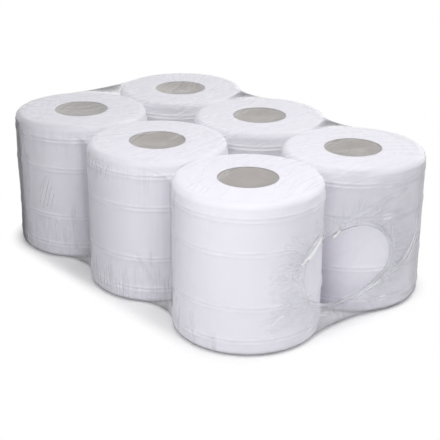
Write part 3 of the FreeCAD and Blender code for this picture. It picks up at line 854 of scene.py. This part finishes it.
def folded_wall(s, t):
    """The film's wall with its folds raised, and how creased it is."""
    places, normals, tilt = lay_wall(s, t)
    up = smooth(tilt / (math.pi / 2))
    down = smooth(-tilt / (math.pi / 2))
    on_wall = ridges(s, places[:, 2], WALL_FOLDS, ROUND) * (1 - up) * (1 - down)
    on_top, _ = top_relief(places[:, 0], places[:, 1])
    crease = on_wall + on_top * up
    drift = 0.3 * MM * (1 + sway(places, 45 * MM, seed=5))
    off, _ = eye_reach(places[:, 1], places[:, 2])
    by_eye = np.abs(places[:, 0]) > END_X
    rim = by_eye * 1.1 * MM * np.exp(-((off - 2.4 * MM) / (2.2 * MM)) ** 2)
    drift = (drift + rim * (1 + 0.5 * sway(places, 30 * MM, seed=8))) * (1 - up) * (1 - down)
    return places + normals * (crease + drift)[:, None], crease


# Each point of the film carries eight marks: its crease, how much shade is painted into it
# as grey, then across, along and share for the pull of the sleeve, and the same three for
# the gathers round a bull's-eye.
MARK_COUNT = 8


def far_side(x, y, share=1.0):
    """Where painted shade greys the film: fully at the -X end, by a share on the +Y side."""
    ease = 60 * MM
    return np.maximum(share * smooth(y / ease), smooth(-(x + END_X - 15 * MM) / ease))


def wall_marks(s, t, crease):
    """Marks of the walls. The pull runs up the long sides, and shows most low on the rolls,
    then high on them and in the valleys."""
    places, _, tilt = lay_wall(s, t)
    x, y, z = places.T
    deep = along_outline(s)[5]
    flat = 1 - smooth(np.abs(tilt) / 0.8)
    up = smooth(tilt / (math.pi / 2))

    low = 1 - smooth((z - 30 * MM) / (45 * MM))
    high = smooth((z - 150 * MM) / (25 * MM))
    near_roll = smooth((x - 0.5 * END_X) / (40 * MM)) * (y < 0)
    pulled = np.maximum(np.maximum(0.55 * low, 0.4 * high) * (1 - 0.8 * near_roll), 0.2 * deep)
    at_seam = smooth(np.minimum(s, ROUND - s) / (12 * MM))
    at_end = smooth((np.abs(x) - END_X - 30 * MM) / (40 * MM))
    share = np.clip(pulled + 0.1, 0, 1) * flat * at_seam * (1 - at_end)

    # the gathers fade out round the bull's-eye and stop where their bearing starts over
    off, angle = eye_reach(y, z)
    eye = (1 - smooth((off - 15 * MM) / (40 * MM))) * flat * (np.abs(x) > END_X)
    start = smooth((math.pi - np.abs(angle)) / 0.12)

    # the film is bunched close to the rolled rim, in some places more than in others
    bunched = (np.abs(x) > END_X) * (1 - smooth(np.abs(off) / (7 * MM)))
    uneven = np.clip(0.28 + 0.28 * sway(places, 45 * MM, seed=13), 0.05, 0.7)
    crease = np.maximum(crease, FULL_CREASE * bunched * uneven)

    # painted shade: grey over the far valleys where the wall turns onto the top, and on the far
    # walls
    painted_shade = np.where(tilt > 0, TOP_PAINTED_SHADE * deep * up * far_side(x, y), far_side(x, y, WALL_PAINTED_SHADE))
    # painted shade: a contact shadow round the base
    painted_shade = np.maximum(painted_shade, BASE_PAINTED_SHADE * smooth(-tilt / 0.6))
    # painted shade: grey in the valleys between the rolls
    painted_shade = np.maximum(painted_shade, VALLEY_PAINTED_SHADE * deep * (tilt <= 0))
    return np.column_stack([crease, painted_shade, s, z, share, 70 * MM * angle, off, eye * start])


def top_marks(x, y, crease, border):
    """Marks of the top, where the pull runs across the sleeve and fans out at its sides."""
    across = x / (1 + TOP_SPREAD * y ** 2)
    share = np.clip(0.75 + 0.35 * sway(np.column_stack([x, y, 0 * x]), 90 * MM, seed=9), 0.2, 1)
    share[:border] = 0
    outline = OUTLINE[:, ::6]
    near = np.array([np.argmin((outline[1] - px) ** 2 + (outline[2] - py) ** 2)
                     for px, py in zip(x, y)])
    inside = np.hypot(outline[1, near] - x, outline[2, near] - y)
    # painted shade: grey over the far valleys near the edge of the top, kept off the rolls
    painted_shade = TOP_PAINTED_SHADE * outline[6, near] * (1 - smooth(inside / (70 * MM))) * far_side(x, y)
    off_rolls = np.min([np.hypot(x - axis.x, y - axis.y) for axis in AXES], axis=0)
    painted_shade = painted_shade * smooth((off_rolls - ROLL_RADIUS + 4 * MM) / (6 * MM))
    none = np.zeros_like(x)
    return np.column_stack([crease, painted_shade, across, y, share, none, none, none])


# ------------------------------------------------------------------ the film's mesh

SAME_SPOT = 1e-7  # metres within which two spots of a flat net are one


def columns_round(side_step, end_step):
    """Distances round the pack of the film's columns, which stand closer at the ends."""
    s, x = OUTLINE[0], OUTLINE[1]
    at_end = smooth((np.abs(x) - END_X + 20 * MM) / (20 * MM))
    count = np.cumsum(1 / (side_step + (end_step - side_step) * at_end)) * (s[1] - s[0])
    total = round(count[-1])
    found = np.interp(np.arange(1, total) * count[-1] / total, count, s)
    return np.concatenate([[0.0], found])


def net(points, stretch):
    """Triangles over flat points. The second coordinate is squeezed, because rows lie
    further apart than columns."""
    flat = [Vector((u, v * stretch)) for u, v in points]
    return np.array(delaunay_2d_cdt(flat, [], [], 0, SAME_SPOT)[2])


def wall_mesh(columns):
    """The walls of the sleeve with their rounded edges, open at the bull's-eyes."""
    ring_gaps = (0, 1.2, 2.6, 4.6, 7.5, 11, 15)
    keep_off = 17 * MM  # the even grid stays outside the rings round each bull's-eye
    columns = np.append(columns, ROUND)
    on_end = np.abs(along_outline(columns)[0]) > END_X - 10 * MM
    edge = np.linspace(0, EDGE, 5)
    low, high = FILM_FOOT + FILM_RIM, FILM_TOP - FILM_RIM
    side_rows = heights(low, high, step=6.5 * MM, on_bead=5)
    end_rows = np.linspace(low, high, round((high - low) / (2.6 * MM)))
    parts = []
    for chosen, rows in ((~on_end, side_rows), (on_end, end_rows)):
        t = np.concatenate([edge[:-1], rise_at(rows), RISE - edge[:-1][::-1]])
        parts.append(np.array(np.meshgrid(columns[chosen], t)).reshape(2, -1))
    grid = np.hstack(parts)
    places, _, _ = lay_wall(*grid)
    off, _ = eye_reach(places[:, 1], places[:, 2])
    grid = grid[:, (np.abs(places[:, 0]) < END_X) | (off > keep_off)]
    for side in (1, -1):
        for gap in ring_gaps:
            y, z = eye_ring(gap * MM, RING_SPOTS)
            grid = np.hstack([grid, [end_distance(side, y), rise_at(z)]])
    faces = net(grid.T, stretch=0.6)
    middles = grid[:, faces].mean(axis=2)
    places, _, _ = lay_wall(*middles)
    off, _ = eye_reach(places[:, 1], places[:, 2])
    faces = faces[(np.abs(places[:, 0]) < END_X) | (off > 0)]
    points, crease = folded_wall(*grid)
    return points, faces, wall_marks(*grid, crease)


def deck_mesh(border, z, step_x, step_y, up):
    """The flat film over or under the pack, inside a border of spots."""
    spacing = max(step_x, step_y)
    x = np.arange(border[:, 0].min(), border[:, 0].max(), step_x)
    y = np.arange(border[:, 1].min(), border[:, 1].max(), step_y)
    grid = np.array(np.meshgrid(x, y)).reshape(2, -1).T
    outline_x, outline_y, nx, ny, _, _ = along_outline(np.arange(0, ROUND, 4 * MM))
    keep = np.ones(len(grid), bool)
    for px, py, ax, ay in zip(outline_x, outline_y, nx, ny):
        off = grid - (px, py)
        close = np.hypot(off[:, 0], off[:, 1]) < 3 * FILM_RIM
        keep &= ~(close & (off @ (ax, ay) > -FILM_RIM - 0.4 * spacing))
    loop = [Vector(p) for p in border]
    flat = loop + [Vector(p) for p in grid[keep]]
    count = len(loop)
    found = delaunay_2d_cdt(flat, [(i, (i + 1) % count) for i in range(count)],
                            [list(range(count))], 1, SAME_SPOT)
    spots = np.array([tuple(p) for p in found[0]])
    faces = np.array(found[2])
    if not up:
        faces = faces[:, ::-1]
        points = np.column_stack([spots, np.full(len(spots), z)])
        return points, faces, np.zeros((len(spots), MARK_COUNT))
    crease, sag = top_relief(spots[:, 0], spots[:, 1])
    points = np.column_stack([spots, z + crease - sag])
    return points, faces, top_marks(spots[:, 0], spots[:, 1], crease, count)


def joined(parts):
    """Several sheets of points, faces and marks as one."""
    points, faces, marks, start = [], [], [], 0
    for part_points, part_faces, part_marks in parts:
        points.append(part_points)
        faces += [[int(i) + start for i in face] for face in part_faces]
        marks.append(part_marks)
        start += len(part_points)
    return np.vstack(points), faces, np.vstack(marks)


# name, kind, field, and first and last column of each layer of marks
MARK_LAYERS = (("crease", "FLOAT", "value", 0, 1), ("painted_shade", "FLOAT", "value", 1, 2),
               ("along_pull", "FLOAT_VECTOR", "vector", 2, 5),
               ("round_eye", "FLOAT_VECTOR", "vector", 5, 8))


def marked_mesh(name, points, faces, marks):
    """A mesh that carries the film's marks at each point."""
    mesh = plain_mesh(name, points, faces)
    for layer_name, kind, field, first, last in MARK_LAYERS:
        layer = mesh.attributes.new(layer_name, kind, "POINT")
        values = np.ascontiguousarray(marks[:, first:last], dtype=np.float32)
        layer.data.foreach_set(field, values.ravel())
    return mesh


def numbers_of(mesh):
    """Points, faces and marks of a mesh. A mark that it lacks is 0."""
    count = len(mesh.vertices)
    points = np.empty(3 * count)
    mesh.vertices.foreach_get("co", points)
    marks = np.zeros((count, MARK_COUNT))
    for layer_name, _, field, first, last in MARK_LAYERS:
        if layer_name in mesh.attributes:
            values = np.empty(count * (last - first))
            mesh.attributes[layer_name].data.foreach_get(field, values)
            marks[:, first:last] = values.reshape(count, -1)
    return points.reshape(-1, 3), [tuple(p.vertices) for p in mesh.polygons], marks


def rolled_tree():
    """Rolls a thick uneven bead of film along a path, as film shrinks into at a free edge."""
    tree = bpy.data.node_groups.new("Rolled edge", "GeometryNodeTree")
    given = named_inputs(tree, {
        "Path": "Geometry", "Spacing": "Float", "Thickness": "Float", "Unevenness": "Float",
        "Lump Size": "Float", "Bunching": "Float", "Seed": "Float", "Finish": "Material"},
        "Piece")
    path = add(tree, "GeometryNodeMeshToCurve", [given["Path"]])
    even = add(tree, "GeometryNodeResampleCurve", {"Curve": path, "Length": given["Spacing"]},
               mode="LENGTH")
    place = add(tree, "GeometryNodeInputPosition")
    spread = add(tree, "ShaderNodeMath", [1.0, given["Lump Size"]], operation="DIVIDE")
    noise = add(tree, "ShaderNodeTexNoise", {"Vector": place, "W": given["Seed"], "Scale": spread,
                "Detail": 2.0}, noise_dimensions="4D")
    swing = add(tree, "ShaderNodeMath", [noise.outputs["Fac"], 0.5], operation="SUBTRACT")
    scale = add(tree, "ShaderNodeMath", [swing, given["Unevenness"], 1.0],
                operation="MULTIPLY_ADD")
    ring = add(tree, "GeometryNodeCurvePrimitiveCircle", {"Resolution": 8,
               "Radius": given["Thickness"]})
    swept = add(tree, "GeometryNodeCurveToMesh", {"Curve": even, "Profile Curve": ring,
                "Scale": scale, "Fill Caps": True})
    marked = add(tree, "GeometryNodeStoreNamedAttribute", {"Geometry": swept, "Name": "crease",
                 "Value": given["Bunching"]}, data_type="FLOAT")
    return made_into_piece(tree, marked, given["Finish"])


def path_mesh(s, z, lift, closed):
    """A path on the film's wall, as edges."""
    places, normals, _ = lay_wall(s, rise_at(z))
    points = places + normals * lift
    count = len(points)
    last = count if closed else count - 1
    return plain_mesh("path", points, (), [(i, (i + 1) % count) for i in range(last)])


# bunched strands beside the bull's-eyes: radius, then spots (y, z), in millimetres
STRANDS = (
    (1.2, ((-47, 135), (-56, 130), (-66, 124), (-75, 120), (-84, 115))),
    (1.9, ((-50, 131), (-58, 126), (-68, 119), (-77, 116))),
    (1.0, ((-66, 120), (-74, 118), (-82, 115), (-88, 112))),
    (1.3, ((-13, 133), (-19, 129), (-25, 127))),
    (0.7, ((-79, 112), (-84, 113), (-90, 114))),
    (0.7, ((-112, 52), (-118, 50), (-124, 44), (-128, 42))),
    (0.7, ((60, 50), (54, 44), (46, 40), (38, 38))),
    (0.4, ((122, 92), (114, 78), (104, 68), (92, 61), (82, 57))),
)
# sharp slanted creases on the -X -Y roll: radius, then spots as distance round the roll and
# height, in millimetres
SLANTED = (
    (0.35, ((38, 124), (34, 110), (28, 90), (25, 80))),
    (0.45, ((43, 118), (38, 100), (33, 84), (31, 74))),
    (0.45, ((47, 110), (43, 96), (38, 78))),
    (0.35, ((50, 100), (47, 88), (43, 74))),
    (0.30, ((34, 120), (30, 108), (26, 98))),
)


def sharp_creases():
    """Creases too sharp for the sheet's own mesh, each as a roll's axis, a radius and spots.
    The slanted ones come first, then pleats over the base of the middle roll, and short
    creases over its top rim."""
    creases = [(AXES[0], radius, spots) for radius, spots in SLANTED]
    for at in np.arange(-25, 52, 7.0) + DICE.normal(0, 1.2, 11):
        reach = DICE.uniform(26, 48)
        creases.append((AXES[1], DICE.uniform(0.25, 0.4),
                        ((at, 4), (at + 1, reach / 2), (at + DICE.normal(0, 2), reach))))
    for at in np.arange(-36, 20, 8.0) + DICE.normal(0, 2.0, 7):
        creases.append((AXES[1], DICE.uniform(0.2, 0.3),
                        ((at, DICE.uniform(166, 172)), (at + 3, 178), (at + 7, 187))))
    return creases


def rolled_edges():
    """The rims of both bull's-eyes, the bunched strands beside them, the sharp creases and
    the sleeve's weld, all as film rolled along a path."""
    tree = rolled_tree()
    values = {"Spacing": 2.4 * MM, "Thickness": ROPE, "Unevenness": 0.8,
              "Lump Size": 22 * MM, "Bunching": 0.35 * FULL_CREASE, "Seed": 3.0,
              "Finish": FILM}
    edges = []

    def roll(name, s, z, lift, closed=False, **changes):
        path = path_mesh(s, z, lift, closed)
        edges.append(numbers_of(grown(tree, name, path, {**values, **changes})))

    for side in (1, -1):
        y, z = eye_ring(0.0, RING_SPOTS)
        roll("rim", end_distance(side, y), z, 0.4 * MM, closed=True)
        for radius, spots in STRANDS:
            y, z = np.array(spots).T * MM
            roll("strand", end_distance(side, y), z, 1.2 * MM, Thickness=radius * MM,
                 Bunching=FULL_CREASE)
    for axis, radius, spots in sharp_creases():
        s, z = np.array(spots).T * MM
        roll("crease", s + roll_facing(axis), z, 0.4 * MM, Thickness=radius * MM,
             Bunching=0.7 * FULL_CREASE)
    # the weld runs along the +Y side to the -X rim, and shrinks flat on the +X end
    s = np.linspace(end_distance(1, 150 * MM), end_distance(-1, 68 * MM), 400)
    roll("weld", s, np.full_like(s, WELD_LEVEL), 0.2 * MM, Spacing=5.0 * MM,
         Unevenness=0.2, Bunching=0.5 * FULL_CREASE)
    return edges


def make_film():
    """The sleeve of shrink film as one piece with its rims."""
    columns = columns_round(side_step=3.4 * MM, end_step=2.8 * MM)
    top_border, _, _ = lay_wall(columns, np.full(len(columns), RISE))
    low_border, _, _ = lay_wall(columns, np.zeros(len(columns)))
    wall = wall_mesh(columns)
    deck = deck_mesh(top_border[:, :2], FILM_TOP, step_x=2.7 * MM, step_y=6.5 * MM, up=True)
    base = deck_mesh(low_border[:, :2], FILM_FOOT, step_x=14 * MM, step_y=14 * MM, up=False)
    sheet = marked_mesh("sheet", *joined([wall, deck, base]))

    holder = placed("sheet", sheet)
    merge = holder.modifiers.new("merge", "WELD")
    merge.merge_threshold = 0.05 * MM
    skin = holder.modifiers.new("thickness", "SOLIDIFY")
    skin.thickness = GAUGE
    skin.offset = 1.0
    points, faces, marks = joined([numbers_of(settled(holder))] + rolled_edges())
    # a crease is a height up to here, and the finish takes it as a share
    marks[:, 0] = np.clip(marks[:, 0] / FULL_CREASE, 0, 1)
    mesh = marked_mesh("shrink_film", points, faces, marks)
    mesh.materials.append(FILM)
    mesh.shade_smooth()
    show("shrink_film", mesh, "shrink_film", "film_wrap")


make_rolls_and_cores()
make_film()

# ------------------------------------------------------------------ studio


def seen_rays(tree):
    """The kinds of ray, and whether the surface is looked at, mirrored or seen through."""
    rays = add(tree, "ShaderNodeLightPath").outputs
    direct = add(tree, "ShaderNodeMath", [rays["Is Camera Ray"], rays["Is Glossy Ray"]],
                 operation="MAXIMUM")
    seen = add(tree, "ShaderNodeMath", [direct, rays["Is Transmission Ray"]], operation="MAXIMUM")
    return rays, seen


def studio_floor():
    """A pale floor that keeps the pack's soft shadow and runs out to white."""
    material, tree = blank("White sweep")
    place = add(tree, "ShaderNodeTexCoord").outputs["Object"]
    one_way = add(tree, "ShaderNodeVectorMath", [place], operation="ABSOLUTE")
    beyond = add(tree, "ShaderNodeVectorMath", [one_way,
                 (cad_high.x - ROLL_RADIUS, cad_high.y - ROLL_RADIUS, 0)], operation="SUBTRACT")
    outside = add(tree, "ShaderNodeVectorMath", [beyond, (0, 0, 0)], operation="MAXIMUM")
    far = add(tree, "ShaderNodeVectorMath", [outside], operation="LENGTH")
    rays, seen = seen_rays(tree)
    ends = add(tree, "ShaderNodeMix", {0: rays["Is Glossy Ray"], 2: ROLL_RADIUS + 20 * MM,
               3: ROLL_RADIUS + 700 * MM}, data_type="FLOAT")
    away = add(tree, "ShaderNodeMapRange", {"Value": far.outputs["Value"],
               "From Min": ROLL_RADIUS - 10 * MM, "From Max": ends},
               interpolation_type="SMOOTHSTEP")
    paper = add(tree, "ShaderNodeBsdfDiffuse", {"Color": colour("#F4F4F4")})
    lift = add(tree, "ShaderNodeEmission", {"Color": (1, 1, 1, 1), "Strength": 0.15})
    raised = add(tree, "ShaderNodeAddShader", [paper, lift])
    white = add(tree, "ShaderNodeEmission", {"Color": (1, 1, 1, 1), "Strength": 1.0})
    shown = add(tree, "ShaderNodeMixShader", [away, raised, white])
    both = add(tree, "ShaderNodeMixShader", [seen, paper, shown])
    add(tree, "ShaderNodeOutputMaterial", {"Surface": both})
    reach = 6.0
    mesh = plain_mesh("floor", [(-reach, -reach, 0), (reach, -reach, 0), (reach, reach, 0),
                      (-reach, reach, 0)], [(0, 1, 2, 3)])
    mesh.materials.append(material)
    placed("floor", mesh)


def studio_world():
    """White where it is seen or mirrored, and a soft even light otherwise."""
    world = bpy.data.worlds.new("Studio")
    bpy.context.scene.world = world
    world.use_nodes = True
    tree = world.node_tree
    tree.nodes.clear()
    _, seen = seen_rays(tree)
    soft = add(tree, "ShaderNodeBackground", {"Color": colour("#E8EAF2"), "Strength": 0.18})
    white = add(tree, "ShaderNodeBackground", {"Color": (1, 1, 1, 1), "Strength": 1.0})
    both = add(tree, "ShaderNodeMixShader", [seen, soft, white])
    add(tree, "ShaderNodeOutputWorld", {"Surface": both})


def softbox(name, azimuth, elevation, distance, size, power, target):
    """A square lamp that faces a spot and stays out of sight."""
    away = towards(azimuth, elevation)
    lamp = bpy.data.lights.new(name, "AREA")
    lamp.size = size
    lamp.energy = power
    stand = placed(name, lamp)
    stand.location = target + away * distance
    stand.rotation_euler = away.to_track_quat("Z", "Y").to_euler()
    stand.visible_camera = False
    stand.visible_glossy = False


def studio_camera():
    """A long lens that looks down on one corner of the pack."""
    azimuth, elevation = 50.48, 22.31
    roll = math.radians(0.25)
    distance = 1.5614
    target = Vector((0.0222, 0.0, 0.0648))
    back = towards(azimuth, elevation)
    right = towards(azimuth + 90, 0)
    up = back.cross(right)
    turned_right = right * math.cos(roll) + up * math.sin(roll)
    turned_up = up * math.cos(roll) - right * math.sin(roll)
    lens = bpy.data.cameras.new("camera")
    lens.lens = 90.63
    lens.sensor_width = 36
    camera = placed("camera", lens)
    turn = Matrix((turned_right, turned_up, back)).transposed().to_4x4()
    camera.matrix_world = Matrix.Translation(target + back * distance) @ turn
    bpy.context.scene.camera = camera


studio_floor()
studio_world()
corner = Vector((*AXES[2], ROLL_HEIGHT / 2))
crown = Vector((*AXES[2], ROLL_TOP))
far_middle = Vector((0, 0.05, ROLL_TOP))
near_foot = Vector((0.2, -0.05, 0.03))
right_end = Vector((0.2, 0, ROLL_HEIGHT / 2))
far_wall = Vector((0, 0.1, ROLL_HEIGHT / 2))
left_end = Vector((-0.2, 0.05, ROLL_HEIGHT / 2))
# azimuth, elevation, distance, size and power
softbox("key", 30, 33, 0.6, 0.4, 1.15, corner)
softbox("over the near corner", 50, 75, 0.7, 0.4, 2.4, crown)
softbox("over the far side", 180, 75, 1.0, 0.8, 1.2, far_middle)
softbox("low fill", 30, 3, 1.0, 0.35, 1.9, near_foot)
softbox("right fill", 125, 25, 1.3, 1.0, 3.0, right_end)
softbox("far fill", 170, 25, 1.3, 1.0, 11.0, far_wall)
softbox("left fill", 248, 25, 1.3, 1.0, 4.2, left_end)
studio_camera()
bpy.context.scene.view_settings.view_transform = "Standard"
